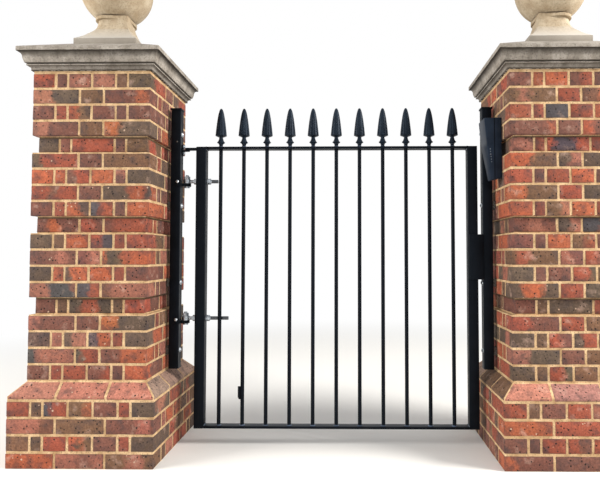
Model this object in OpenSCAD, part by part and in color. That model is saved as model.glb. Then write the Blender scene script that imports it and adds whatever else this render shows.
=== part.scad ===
// Single-leaf wrought iron driveway gate between two brick piers.
// +X runs across the opening to the right, +Y towards the house, +Z up.
// The origin is at ground level, in the middle of the opening and of the piers' depth.

/* [Opening] */
// Clear width between the inner flanks of the piers
opening_w = 1660; // [1560:10:1760]
// Gap between the hinge post and the leaf
hinge_gap = 80; // [72:1:95]
// Gap between the leaf and the latch post
latch_gap = 25; // [18:1:40]

/* [Brick piers] */
// Width of the square shaft, two and a half bricks
shaft_w = 552.5; // [500:2.5:600]
// Projection of the plinth beyond the shaft
plinth_out = 56.25; // [40:1.25:60]
// Height of one course with its bed joint
course_h = 75; // [70:1:80]
// Courses in the plinth below the sloped course
plinth_courses = 4; // [3:1:4]
// Courses in each full-width band
band_courses = 4; // [3:1:5]
// Number of full-width bands
band_count = 4; // [4:1:5]
// Set-back of the single courses between the bands
recess_in = 20; // [10:1:28]

/* [Cap stones] */
// Thickness of the mortar bed under the cap
bed_t = 8; // [5:1:12]
// How far that bed is raked back from the brick faces
bed_in = 4; // [1:0.5:10]
// How far the cap's edge stays inside the plinth's face
cap_in = 2.5; // [0:0.5:12]
// Depth of the moulded part below the fascia
cap_mould_h = 80; // [74:1:90]
// Height in the cap at which the large cavetto begins
cap_cove_z = 50; // [44:1:60]
// Height of the fascia
fascia_h = 20; // [16:1:30]
// Rise of the weathered top
weather_h = 77; // [50:1:90]

/* [Finials] */
// Width of the square slab
slab_w = 306; // [280:2:340]
// Thickness of the slab
slab_t = 29; // [20:1:36]
// Height of the curved flare
flare_h = 114; // [100:1:124]
// Width of the flare's top, whose sharp corner the neck goes on with
waist_w = 164; // [156:2:168]
// Height of the neck
neck_h = 29; // [26:1:40]
// Width of the collar round the top of the neck
neck_w = 180; // [168:2:190]
// Height of that collar
neck_collar_h = 16; // [12:1:20]
// How far the neck is hollowed under the collar
neck_in = 10; // [8:1:12]
// Length over which that hollow stays away from the sharp corner
neck_fade = 48; // [30:1:60]
// How far the neck's round side and the ball stand further out than the slab
neck_out = 7; // [0:1:10]
// Radius of the neck's corners, except the sharp one at the front of its inner side
neck_corner_r = 62; // [50:1:70]
// Diameter of the ball
ball_d = 356; // [340:2:376]
// Drop of the ball's cut bed below the height of its centre
ball_seat = 160; // [150:1:164]
// How far the right finial stands out from the middle of its pier
right_finial_out = 15; // [0:1:16]

/* [Posts] */
// Outside size of the square steel post
post_w = 50; // [40:1:60]
// Wall of the post
post_wall = 4; // [3:0.5:5]
// Height of the post's lower end
post_bottom = 380; // [376:1:400]
// Height of the post's upper end above the leaf
post_rise = 190; // [170:5:230]
// Overhang of the post's end cap
post_cap_out = 3; // [1:0.5:4]
// Thickness of the post's end cap
post_cap_t = 8; // [6:1:12]
// Thickness of the packers between post and pier
packer_t = 15; // [10:1:20]
// Size of a packer along the post and across it
packer_w = 40; // [30:1:44]
// Diameter of the fixing bolts
fixing_d = 12; // [10:1:14]
// Diameter of the domed bolt heads
dome_d = 24; // [20:1:28]
// Heights of the fixing bolts
fixing_z = [470, 810, 1200, 1565];
// Depth of the bolts in the brickwork
anchor_depth = 90; // [70:5:120]

/* [Leaf] */
// Height of the leaf's lower edge above the ground
leaf_bottom = 85; // [60:1:100]
// Height of the top rail's upper face
leaf_top = 1500; // [1490:5:1520]
// Outside size of the square stiles
stile_w = 50; // [48:1:54]
// Wall of the stiles
stile_wall = 3; // [2:0.5:3]
// Thickness of the flat rails
rail_t = 12; // [8:1:14]
// Diameter of the round bars
bar_d = 19; // [16:1:19]
// Number of bars
bar_count = 11;
// From a stile's face to the centre of the nearest bar
end_space = 72.5; // [65:0.5:85]
// How far the bars are set forward so that the hinge bolts pass behind them
bar_set = 7; // [7:0.5:10]
// Height of the bar stub above the top rail
stub_h = 13; // [10:1:18]
// Clearance around a bar in the top rail
bar_clear = 0.25; // [0.1:0.05:0.5]
// Width, height and thickness of the small tab on the second bar
tab_size = [13, 64, 5];
// Height of the tab's middle
tab_z = 258; // [200:1:400]

/* [Railheads] */
// Radius of the collar disc
collar_r = 20; // [17:0.5:22]
// Height of the foot and the collar disc
foot_h = 13; // [11:1:16]
// Height of the bell above the collar
bell_h = 22; // [18:1:26]
// Height of the spear's sloping underside
under_h = 11; // [9:1:20]
// Radius at the spear's skirt
skirt_r = 28.5; // [25:0.5:32]
// Height of the spear above its skirt
spear_h = 141; // [125:1:150]
// Number of flutes
flute_count = 12; // [8:1:12]
// Radius of the flutes
flute_r = 3.5; // [2.5:0.25:3.75]
// Height above the skirt where the flutes run out
flute_run = 92; // [70:1:110]

/* [Hinges] */
// Height of the lower eye bolt above the leaf's lower edge
hinge_rise = 544; // [500:2:600]
// Drop of the upper eye bolt below the leaf's upper edge
hinge_drop = 174; // [150:2:250]
// From the post's face to the hinge axis
axis_out = 25; // [24:0.5:30]
// How far the hinge axis lies behind the leaf's middle
axis_back = 12.5; // [12.5:0.25:12.75]
// Diameter of the eye bolt's shank
shank_d = 18; // [14:1:18]
// Diameter of the hinge pin
pin_d = 16; // [12:1:18]
// Radial running clearance on the pins
pin_clear = 0.05; // [0.02:0.01:0.1]
// Outside diameter of the eye
eye_d = 40; // [36:1:40]
// Thickness of the eye
eye_t = 20; // [18:1:26]
// Thickness of the lug under the eye
lug_t = 16; // [10:1:20]
// Size across the flats of the nuts
nut_af = 27; // [24:1:30]
// Thickness of a nut
nut_t = 15; // [12:1:18]
// How far a pin stands out of its nut
pin_end = 7; // [3:0.5:9]
// Washer thickness
washer_t = 3; // [2:0.5:4]
// Lengths of thread beyond the stile on the lower and upper bolts
tail_len = [113, 55];

/* [Top pivot] */
// Thickness of the arm
arm_t = 12; // [6:0.5:14]
// Thickness of the lug under the arm
arm_lug_t = 6; // [5:0.5:10]
// Width of the arm
arm_w = 24; // [20:1:25]
// Diameter of the top pivot pin
top_pin_d = 12; // [8:0.5:14]
// Height of the bracket's wall plate
pivot_plate_h = 55; // [45:1:70]

/* [Strike plate] */
// Width of the plate in front of the latch stile
strike_w = 71; // [60:1:80]
// Height of the plate
strike_h = 226; // [180:1:260]
// Height of the plate's lower edge
strike_z = 827; // [820:1:900]
// Thickness of the plate
strike_t = 6; // [4:0.5:8]
// Gap between the plate and the leaf
strike_clear = 5; // [5:0.5:8]
// Length of the leg on the post
strike_leg = 50; // [35:1:52]

/* [Entry housing] */
// Width of the housing at its top
housing_top_w = 82; // [70:1:83]
// Width of the housing at its bottom
housing_bottom_w = 54; // [38:1:60]
// Width of the front panel beside the pier
housing_strip_w = 35; // [20:1:37]
// How far the front panel on the opening's side falls back to its edge
housing_front_in = 7; // [3:1:10]
// Depth of the housing in front of the post
housing_d = 124; // [100:1:130]
// Depth of the housing at its foot
housing_foot_d = 56; // [40:1:70]
// Height of the part that reaches back to the post
housing_back_h = 122; // [90:1:160]
// Rise of the lower edge towards the pier
housing_rise = 13; // [0:1:16]
// Height of the housing
housing_h = 304; // [260:1:320]
// Drop of the housing's lower edge below the post's upper end
housing_drop = 380; // [350:1:400]

/* [Hidden] */
$fn = 64;
flank = opening_w / 2;
shaft_r = shaft_w / 2;
plinth_r = shaft_r + plinth_out;
pier_x = flank + shaft_r;
plinth_h = plinth_courses * course_h;
slope_top = plinth_h + course_h;
// The sloped bricks fall at 45 degrees from the shaft to a short upright nose.
nose_top = slope_top - plinth_out;
band_h = band_courses * course_h;
shaft_top = slope_top + band_count * band_h + (band_count - 1) * course_h;
cap_z = shaft_top + bed_t;
cap_h = cap_mould_h + fascia_h + weather_h;
finial_z = cap_z + cap_h;
base_h = slab_t + flare_h + neck_h;
ball_r = ball_d / 2;

post_top = leaf_top + post_rise;
housing_z = post_top - housing_drop;
post_face = flank - packer_t;
post_inner = post_face - post_w;
head_len = 7;
hole_clear = 0.5;

leaf_x0 = -post_inner + hinge_gap;
leaf_x1 = post_inner - latch_gap;
rail_x0 = leaf_x0 + stile_w;
rail_x1 = leaf_x1 - stile_w;
bar_x0 = rail_x0 + end_space;
bar_pitch = (rail_x1 - rail_x0 - 2 * end_space) / (bar_count - 1);
bar_z0 = leaf_bottom + rail_t;
bar_z1 = leaf_top + stub_h;

axis_x = -post_inner + axis_out;
hinge_z = [leaf_bottom + hinge_rise, leaf_top - hinge_drop];
eye_r = eye_d / 2;
nut_gap = 0.5;
strap_t = 5;
strap_w = 25;
lug_top = -eye_t / 2;
front = -post_w / 2;
leaf_front = -stile_w / 2;

function finial_x(side) = side * pier_x + (side > 0 ? right_finial_out : 0);
function two(i) = i < 10 ? str("0", i) : str(i);
function bar_x(i) = bar_x0 + (i - 1) * bar_pitch;
function last_first(list) = [for (i = [len(list) - 1 : -1 : 0]) list[i]];

// Points along an elliptical arc from angle a to angle b
function arc(centre, rx, rz, a, b, steps) = [
    for (i = [0 : steps])
        let (t = a + (b - a) * i / steps)
        [centre[0] + rx * cos(t), centre[1] + rz * sin(t)]
];

// Square moulding with mitred corners: the profile lists half width and height
module mitred(profile) {
    outline = concat(profile, last_first([for (p = profile) [-p[0], p[1]]]));
    reach = 2 * max([for (p = profile) p[0]]);
    intersection() {
        rotate([90, 0, 0]) linear_extrude(height = reach, center = true) polygon(outline);
        rotate([90, 0, 90]) linear_extrude(height = reach, center = true) polygon(outline);
    }
}

// Plinth, sloped course and shaft as one mass of brickwork
module pier(side) {
    lower = [[plinth_r, 0], [plinth_r, nose_top], [shaft_r, slope_top]];
    bands = [
        for (b = [0 : band_count - 1])
            let (z0 = slope_top + b * (band_h + course_h), z1 = z0 + band_h)
            each [
                if (b > 0) [shaft_r - recess_in, z0],
                if (b > 0) [shaft_r, z0],
                [shaft_r, z1],
                [shaft_r - (b < band_count - 1 ? recess_in : bed_in), z1]
            ]
    ];
    bed = [[shaft_r - bed_in, shaft_top + bed_t]];
    color("firebrick") difference() {
        translate([side * pier_x, 0, 0]) mitred(concat(lower, bands, bed));
        for (z = fixing_z)
            translate([side * (flank + anchor_depth / 2), 0, z])
                rotate([0, 90, 0])
                    cylinder(d = fixing_d + 2 * hole_clear, h = anchor_depth + 2, center = true);
    }
}

// Cap stone: band, small cavetto, fillet, quirk, large cavetto, fascia and weathered top
module cap_stone(side) {
    lip = plinth_r - cap_in;
    face = lip - 20;
    fillet_lo = lip - 47;
    fillet_hi = lip - 32;
    quirk = lip - 40;
    cove_h = cap_mould_h - cap_cove_z;
    profile = concat(
        [[fillet_lo, 0]],
        arc([fillet_hi, 9], fillet_hi - fillet_lo, 12, 180, 90, 5),
        [[fillet_hi, 27], [quirk, 27], [quirk, 32], [face - 6, 32]],
        arc([face + 15, cap_cove_z], 15, cove_h, 180, 90, 8),
        [[lip, cap_mould_h], [lip, cap_mould_h + fascia_h], [slab_w / 2 + 2, cap_h]]
    );
    color("tan") translate([side * pier_x, 0, cap_z]) mitred(profile);
}

// Plan of the neck, seen with the opening on its right: one sharp corner and three round ones
function neck_plan(sharp, half, round) = concat(
    [[sharp - neck_fade, -sharp], [sharp, -sharp], [sharp, neck_fade - sharp]],
    arc([half - round - neck_out, half - round], round, round, 0, 90, 8),
    arc([round - half - neck_out, half - round], round, round, 90, 180, 8),
    arc([round - half - neck_out, round - half], round, round, 180, 270, 8)
);

// Finial base: square slab, hollow flare that turns round at three corners, neck and collar
module finial_base(side) {
    waist = waist_w / 2;
    flare_z = slab_t + flare_h;
    collar_z = base_h - neck_collar_h;
    reach = slab_w * 0.74;
    turn_r = waist + neck_out + 1;
    flare = [
        for (i = [0 : 10])
            let (t = i / 10)
            [waist + (slab_w / 2 - waist) * pow(1 - t, 2.4), slab_t + flare_h * t]
    ];
    turning = [
        for (i = [0 : 10])
            let (t = i / 10)
            [turn_r + (reach - turn_r) * pow(1 - t, 2.0), slab_t + flare_h * t]
    ];
    color("wheat") translate([finial_x(side), 0, finial_z]) mirror([side > 0 ? 1 : 0, 0, 0]) {
        intersection() {
            mitred(concat([[slab_w / 2, 0]], flare));
            union() {
                translate([-neck_out, 0, 0])
                    rotate_extrude() polygon(concat([[0, 0], [reach, 0]], turning, [[0, flare_z]]));
                translate([0, -slab_w, 0]) cube([slab_w, slab_w, flare_z]);
            }
        }
        translate([0, 0, flare_z])
            linear_extrude(height = neck_h - neck_collar_h)
                polygon(neck_plan(waist, neck_w / 2 - neck_in, neck_corner_r));
        translate([0, 0, collar_z])
            linear_extrude(height = neck_collar_h)
                polygon(neck_plan(waist, neck_w / 2, neck_corner_r));
    }
}

// Stone ball, cut flat where it beds on the neck
module finial_ball(side) {
    seat = finial_z + base_h;
    mid = finial_x(side) + side * neck_out;
    color("wheat") difference() {
        translate([mid, 0, seat + ball_seat]) sphere(d = ball_d);
        translate([mid, 0, seat - ball_r]) cube([ball_d, ball_d, ball_d], center = true);
    }
}

// Square box post with a closed top, bored for its fixings
module post(side) {
    mid = side * (post_inner + post_w / 2);
    hollow = post_w - 2 * post_wall;
    cap = post_w + 2 * post_cap_out;
    color("dimgray") difference() {
        union() {
            translate([mid, 0, (post_bottom + post_top) / 2])
                cube([post_w, post_w, post_top - post_bottom], center = true);
            translate([mid, 0, post_top + post_cap_t / 2]) cube([cap, cap, post_cap_t], center = true);
        }
        translate([mid, 0, (post_bottom + post_top) / 2 - 1])
            cube([hollow, hollow, post_top - post_bottom], center = true);
        for (z = fixing_z)
            translate([mid, 0, z])
                rotate([0, 90, 0])
                    cylinder(d = fixing_d + 2 * hole_clear, h = post_w + 2, center = true);
    }
}

// Steel packers that hold the post off the brickwork
module packers(side) {
    color("gray") for (z = fixing_z)
        translate([side * (post_face + packer_t / 2), 0, z]) difference() {
            cube([packer_t, packer_w, packer_w], center = true);
            rotate([0, 90, 0])
                cylinder(d = fixing_d + 2 * hole_clear, h = packer_t + 2, center = true);
        }
}

// Domed bolts through post and packer into the pier
module fixing_bolts(side) {
    shank = flank + anchor_depth - post_inner;
    color("silver") for (z = fixing_z)
        translate([side * post_inner, 0, z])
            rotate([0, side * 90, 0]) {
                cylinder(d = fixing_d, h = shank);
                difference() {
                    scale(dome_d / 24) translate([0, 0, 3.4]) sphere(r = 12.5);
                    translate([-dome_d, -dome_d, 0]) cube(2 * dome_d);
                }
            }
}

// Black bracket of a hinge: strap round the post's corner and a round-ended lug
module hinge_bracket(z) {
    lug_z = z + lug_top - lug_t;
    strap_x = -post_inner - strap_w;
    depth = axis_back + eye_r - front;
    color("black") difference() {
        union() {
            translate([-post_inner, front - strap_t, lug_z]) cube([strap_t, depth + strap_t, lug_t]);
            translate([strap_x, front - strap_t, lug_z]) cube([strap_w, strap_t, lug_t + eye_t]);
            translate([-post_inner, axis_back - eye_r, lug_z]) cube([axis_out, eye_d, lug_t]);
            translate([axis_x, axis_back, lug_z]) cylinder(d = eye_d, h = lug_t);
        }
        translate([axis_x, axis_back, lug_z - 1]) cylinder(d = pin_d + 2 * hole_clear, h = lug_t + 2);
    }
}

// Galvanised pin with its head under the lug and its nut over the eye
module hinge_pin(z) {
    head_z = z + lug_top - lug_t - head_len;
    nut_z = z + eye_t / 2 + nut_gap;
    color("silver") translate([axis_x, axis_back, 0]) {
        translate([0, 0, head_z]) cylinder(d = nut_af, h = head_len);
        translate([0, 0, head_z]) cylinder(d = pin_d, h = nut_z + nut_t + pin_end - head_z);
        translate([0, 0, nut_z]) cylinder(d = nut_af / cos(30), h = nut_t, $fn = 6);
    }
}

// Adjustable eye bolt: eye, shank, and a nut and washer on each side of the stile
module eye_bolt(z, tail) {
    tail_x = rail_x0 + tail;
    nut_d = nut_af / cos(30);
    color("silver") translate([0, axis_back, z]) difference() {
        union() {
            translate([axis_x, 0, 0]) cylinder(d = eye_d, h = eye_t, center = true);
            translate([axis_x, 0, 0]) rotate([0, 90, 0]) cylinder(d = shank_d, h = tail_x - axis_x);
            translate([leaf_x0 - washer_t, 0, 0]) rotate([0, 90, 0]) cylinder(d = nut_af + 5, h = washer_t);
            translate([leaf_x0 - washer_t - nut_t, 0, 0])
                rotate([0, 90, 0])
                    cylinder(d = nut_d, h = nut_t, $fn = 6);
            translate([rail_x0, 0, 0]) rotate([0, 90, 0]) cylinder(d = nut_af + 5, h = washer_t);
            translate([rail_x0 + washer_t, 0, 0])
                rotate([0, 90, 0])
                    cylinder(d = nut_d, h = nut_t, $fn = 6);
        }
        translate([axis_x, 0, 0]) cylinder(d = pin_d + 2 * pin_clear, h = eye_t + 2, center = true);
    }
}

// Wall plate, lug and pin of the top pivot
module top_pivot_bracket() {
    lug_z = leaf_top - arm_t - arm_lug_t;
    plate_z = leaf_top - arm_t - pivot_plate_h / 2;
    lug_x = -post_inner + strap_t;
    color("black") {
        translate([-post_inner, axis_back - arm_w / 2, plate_z]) cube([strap_t, arm_w, pivot_plate_h]);
        translate([lug_x, axis_back - arm_w / 2, lug_z]) cube([axis_x - lug_x, arm_w, arm_lug_t]);
        translate([axis_x, axis_back, lug_z]) cylinder(d = arm_w, h = arm_lug_t);
        translate([axis_x, axis_back, lug_z]) cylinder(d = top_pin_d, h = arm_lug_t + arm_t);
    }
}

// Arm from the stile's upper end to the top pivot pin
module top_pivot_arm() {
    color("black") translate([axis_x, axis_back, leaf_top - arm_t]) difference() {
        union() {
            translate([0, -arm_w / 2, 0]) cube([leaf_x0 - axis_x, arm_w, arm_t]);
            cylinder(d = arm_w, h = arm_t);
        }
        translate([0, 0, -1]) cylinder(d = top_pin_d + 2 * pin_clear, h = arm_t + 2);
    }
}

// Angle plate on the latch post that the closed leaf meets
module strike_plate() {
    plate_y = leaf_front - strike_clear - strike_t;
    color("dimgray") {
        translate([post_inner - strike_w, plate_y, strike_z]) cube([strike_w, strike_t, strike_h]);
        translate([post_inner - strike_t, plate_y, strike_z]) cube([strike_t, strike_leg, strike_h]);
    }
}

// Tapered housing on the front of the latch post, folded along its front, with a shallow foot
module entry_housing() {
    x0 = flank - housing_top_w;
    y0 = front - housing_d;
    top = housing_z + housing_h;
    plan = [
        [x0, front],
        [x0, y0 + housing_front_in],
        [flank - housing_strip_w, y0],
        [flank, y0 + 2],
        [flank, front]
    ];
    view = [
        [x0, top],
        [flank, top],
        [flank, housing_z + housing_rise],
        [flank - housing_bottom_w, housing_z]
    ];
    outline = [
        [y0 - 1, housing_z - 1],
        [y0 + housing_foot_d, housing_z - 1],
        [front, top - housing_back_h],
        [front, top],
        [y0 - 1, top]
    ];
    color("slategray") intersection() {
        translate([0, 0, housing_z]) linear_extrude(height = housing_h) polygon(plan);
        rotate([90, 0, 0]) linear_extrude(height = -2 * y0, center = true) polygon(view);
        rotate([90, 0, 90]) linear_extrude(height = flank + 1) polygon(outline);
    }
}

// Square box stile with a closed top
module stile(x) {
    hollow = stile_w - 2 * stile_wall;
    height = leaf_top - leaf_bottom;
    difference() {
        translate([x, leaf_front, leaf_bottom]) cube([stile_w, stile_w, height]);
        translate([x + stile_wall, -hollow / 2, leaf_bottom - 1])
            cube([hollow, hollow, height + 1 - stile_wall]);
    }
}

// Hinge stile, bored for the eye bolts
module hinge_stile() {
    color("black") difference() {
        stile(leaf_x0);
        for (z = hinge_z)
            translate([leaf_x0 - 1, axis_back, z])
                rotate([0, 90, 0])
                    cylinder(d = shank_d + 2 * hole_clear / 2, h = stile_w + 2);
    }
}

// Latch stile
module latch_stile() {
    color("black") stile(leaf_x1 - stile_w);
}

// Flat top rail, punched for the bars
module top_rail() {
    color("black") difference() {
        translate([rail_x0, leaf_front, leaf_top - rail_t]) cube([rail_x1 - rail_x0, stile_w, rail_t]);
        for (i = [1 : bar_count])
            translate([bar_x(i), -bar_set, leaf_top - rail_t - 1])
                cylinder(d = bar_d + 2 * bar_clear, h = rail_t + 2);
    }
}

// Flat bottom rail
module bottom_rail() {
    color("black") translate([rail_x0, leaf_front, leaf_bottom]) cube([rail_x1 - rail_x0, stile_w, rail_t]);
}

// Round bar from the bottom rail through the top rail
module bar(i) {
    color("black") translate([bar_x(i), -bar_set, bar_z0]) cylinder(d = bar_d, h = bar_z1 - bar_z0);
}

// Small plate on the left of the second bar, with its lower outer corner cut
module bar_tab() {
    half_h = tab_size[1] / 2;
    reach = bar_d / 2 + tab_size[0];
    outline = [[0, -half_h], [-reach + 5, -half_h], [-reach, -half_h + 12], [-reach, half_h], [0, half_h]];
    color("black") translate([bar_x(2), -bar_set, tab_z]) difference() {
        rotate([90, 0, 0]) linear_extrude(height = tab_size[2], center = true) polygon(outline);
        cylinder(d = bar_d, h = 2 * half_h + 2, center = true);
    }
}

// Fluted spear on a bell-shaped collar, one casting on each bar
module railhead(i) {
    throat_z = foot_h + bell_h;
    skirt_z = throat_z + under_h;
    bar_r = bar_d / 2;
    bell = [
        for (i = [0 : 6])
            let (t = i / 6)
            [bar_r + (collar_r - 3 - bar_r) * pow(1 - t, 1.5), foot_h + bell_h * t]
    ];
    spear = [
        for (i = [0 : 11])
            let (s = 1 - pow(1 - i / 11, 1.6))
            [skirt_r * pow(1 - s, 0.45), skirt_z + spear_h * s]
    ];
    outline = concat(
        [[0, 0], [bar_r + 1.5, 0], [bar_r + 2, foot_h - 9], [collar_r - 1.5, foot_h - 4.5]],
        [[collar_r, foot_h - 2.5], [collar_r - 0.5, foot_h - 0.5]],
        bell,
        [[bar_r + 1, throat_z + 2.5], [skirt_r - 11, throat_z + under_h * 0.5]],
        [[skirt_r - 3.5, throat_z + under_h * 0.78], [skirt_r - 0.8, throat_z + under_h * 0.92]],
        spear
    );
    run_out = skirt_r * pow(1 - flute_run / spear_h, 0.45) + flute_r;
    flute_lean = atan((skirt_r + 0.6 - run_out) / flute_run);
    color("black") translate([bar_x(i), -bar_set, bar_z1]) difference() {
        rotate_extrude() polygon(outline);
        for (k = [0 : flute_count - 1])
            rotate([0, 0, (k + 0.5) * 360 / flute_count])
                translate([skirt_r + 0.6, 0, skirt_z])
                    rotate([0, -flute_lean, 0])
                        translate([0, 0, -12])
                            cylinder(r = flute_r, h = 0.95 * spear_h + 12, $fn = 24);
    }
}

pier(-1);  // left_pier
cap_stone(-1);  // left_cap
finial_base(-1);  // left_finial_base
finial_ball(-1);  // left_finial_ball
pier(1);  // right_pier
cap_stone(1);  // right_cap
finial_base(1);  // right_finial_base
finial_ball(1);  // right_finial_ball
post(-1);  // hinge_post
packers(-1);  // hinge_post_packers
fixing_bolts(-1);  // hinge_post_bolts
post(1);  // latch_post
packers(1);  // latch_post_packers
fixing_bolts(1);  // latch_post_bolts
hinge_bracket(hinge_z[0]);  // lower_hinge_bracket
hinge_bracket(hinge_z[1]);  // upper_hinge_bracket
hinge_pin(hinge_z[0]);  // lower_hinge_pin
hinge_pin(hinge_z[1]);  // upper_hinge_pin
top_pivot_bracket();
strike_plate();
entry_housing();
hinge_stile();
latch_stile();
top_rail();
bottom_rail();
eye_bolt(hinge_z[0], tail_len[0]);  // lower_eye_bolt
eye_bolt(hinge_z[1], tail_len[1]);  // upper_eye_bolt
top_pivot_arm();
bar_tab();
for (i = [1 : bar_count]) bar(i);
for (i = [1 : bar_count]) railhead(i);
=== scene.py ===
import math
import random

import bmesh
import bpy
from mathutils import Matrix, Vector, noise


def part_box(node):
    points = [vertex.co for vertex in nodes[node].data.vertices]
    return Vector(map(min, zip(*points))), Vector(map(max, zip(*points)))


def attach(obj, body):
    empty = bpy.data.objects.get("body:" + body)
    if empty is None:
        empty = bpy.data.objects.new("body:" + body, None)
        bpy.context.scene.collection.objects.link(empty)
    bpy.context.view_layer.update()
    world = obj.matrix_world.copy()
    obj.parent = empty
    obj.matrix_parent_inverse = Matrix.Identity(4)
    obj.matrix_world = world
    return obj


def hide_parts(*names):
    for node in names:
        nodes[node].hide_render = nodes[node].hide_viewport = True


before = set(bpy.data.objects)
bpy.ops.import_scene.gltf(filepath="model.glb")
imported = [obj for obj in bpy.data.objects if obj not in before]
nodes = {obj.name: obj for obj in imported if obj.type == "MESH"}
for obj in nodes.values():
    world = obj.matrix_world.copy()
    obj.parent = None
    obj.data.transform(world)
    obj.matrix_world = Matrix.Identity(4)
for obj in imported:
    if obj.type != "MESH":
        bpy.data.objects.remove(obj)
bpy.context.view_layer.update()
fixedBody = "piers_and_posts"
leafBody = "leaf"
print("frame loaded", len(nodes), "nodes")

noiseRange = {"From Min": 0.3, "From Max": 0.7}  # where most of a noise texture's values lie


def linear(hexCode):
    # sRGB hex to linear colour
    parts = [int(hexCode[i:i + 2], 16) / 255 for i in (1, 3, 5)]
    return [p / 12.92 if p <= 0.04045 else ((p + 0.055) / 1.055) ** 2.4 for p in parts] + [1.0]


def addNode(tree, kind, links=None, **settings):
    # one shader node with its settings; links gives an input a value or another node's output
    node = tree.nodes.new(kind)
    for name, value in settings.items():
        setattr(node, name, value)
    for key, value in (links or {}).items():
        if isinstance(value, bpy.types.NodeSocket):
            tree.links.new(value, node.inputs[key])
        else:
            node.inputs[key].default_value = value
    return node


def startMaterial(name):
    material = bpy.data.materials.new(name)
    material.use_nodes = True
    tree = material.node_tree
    place = addNode(tree, "ShaderNodeTexCoord").outputs["Object"]
    return material, tree, tree.nodes["Principled BSDF"], place


def perMetre(sizeMm):
    # a pattern's scale from the real size of one of its features
    return 1000 / sizeMm


def layTone(tree, under, tone, pattern, begin=0.0, full=1.0, share=1.0):
    # lays a tone over a colour where a pattern goes from begin to full, up to a share
    amount = addNode(tree, "ShaderNodeMapRange",
                     {"Value": pattern, "From Min": begin, "From Max": full, "To Max": share}).outputs[0]
    return addNode(tree, "ShaderNodeMix", {0: amount, 6: under, 7: linear(tone)}, data_type="RGBA").outputs[2]


def layStrip(tree, under, tone, place, axis, middle, reach, share=1.0):
    # lays a tone in a strip across one axis, within reach of a middle, in metres
    along = addNode(tree, "ShaderNodeSeparateXYZ", {0: place}).outputs[axis]
    inside = addNode(tree, "ShaderNodeMath", {0: along, 1: middle, 2: reach}, operation="COMPARE").outputs[0]
    return layTone(tree, under, tone, inside, share=share)


def finishSurface(tree, shader, look, colour, cloud, height):
    # the colour, a roughness that follows a cloudy pattern, and the relief of a height
    tree.links.new(colour, shader.inputs["Base Color"])
    smooth, rough = look["rough"]
    roughness = addNode(tree, "ShaderNodeMapRange",
                        {"Value": cloud, **noiseRange, "To Min": smooth, "To Max": rough}).outputs[0]
    tree.links.new(roughness, shader.inputs["Roughness"])
    relief = addNode(tree, "ShaderNodeBump",
                     {"Strength": look["bump"], "Distance": look["bumpDeep"], "Height": height}).outputs[0]
    tree.links.new(relief, shader.inputs["Normal"])


# in every look, a laid tone such as scorched or gritty has three values: where in its pattern it begins,
# where it is full, and its share there
brickLook = {
    "mottleMm": 55,
    "grainMm": 9,  # coarser than the real 2 mm sand, which would not show
    "speckMm": 16,
    "speckBend": 0.007,  # how far the grain pulls a speck out of round, in metres
    "speckRadius": (0.09, 0.28),  # as a share of its cell
    "speckEdge": (-0.02, 0.03),
    "speckShare": 0.95,
    "paleAbove": 0.96,  # a speck whose chance is past this is pale
    "fireStray": 0.03,  # how far the fire's edge wanders, in metres
    "fireEdge": 0.018,  # half the width of that soft edge
    "scorched": (0.5, 0.68, 0.6),
    "bloomed": (0.42, 0.28, 0.42),
    "arris": (0.0045, 0.0015, 0.4),  # painted shade towards the arris, for the shadow line at the joints; in metres from the edge
    "lift": (0.62, 1.42),  # how far the grain darkens and lightens the colour
    "saturation": 0.98,
    "rough": (0.8, 0.97),
    "gloss": 0.3,
    "bump": 0.6,
    "bumpDeep": 0.0015,
    "burnt": "#433a3b",
    "bloom": "#c0a08f",
    "speck": "#1c1615",
    "paleSpeck": "#c4a790",
}


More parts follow.
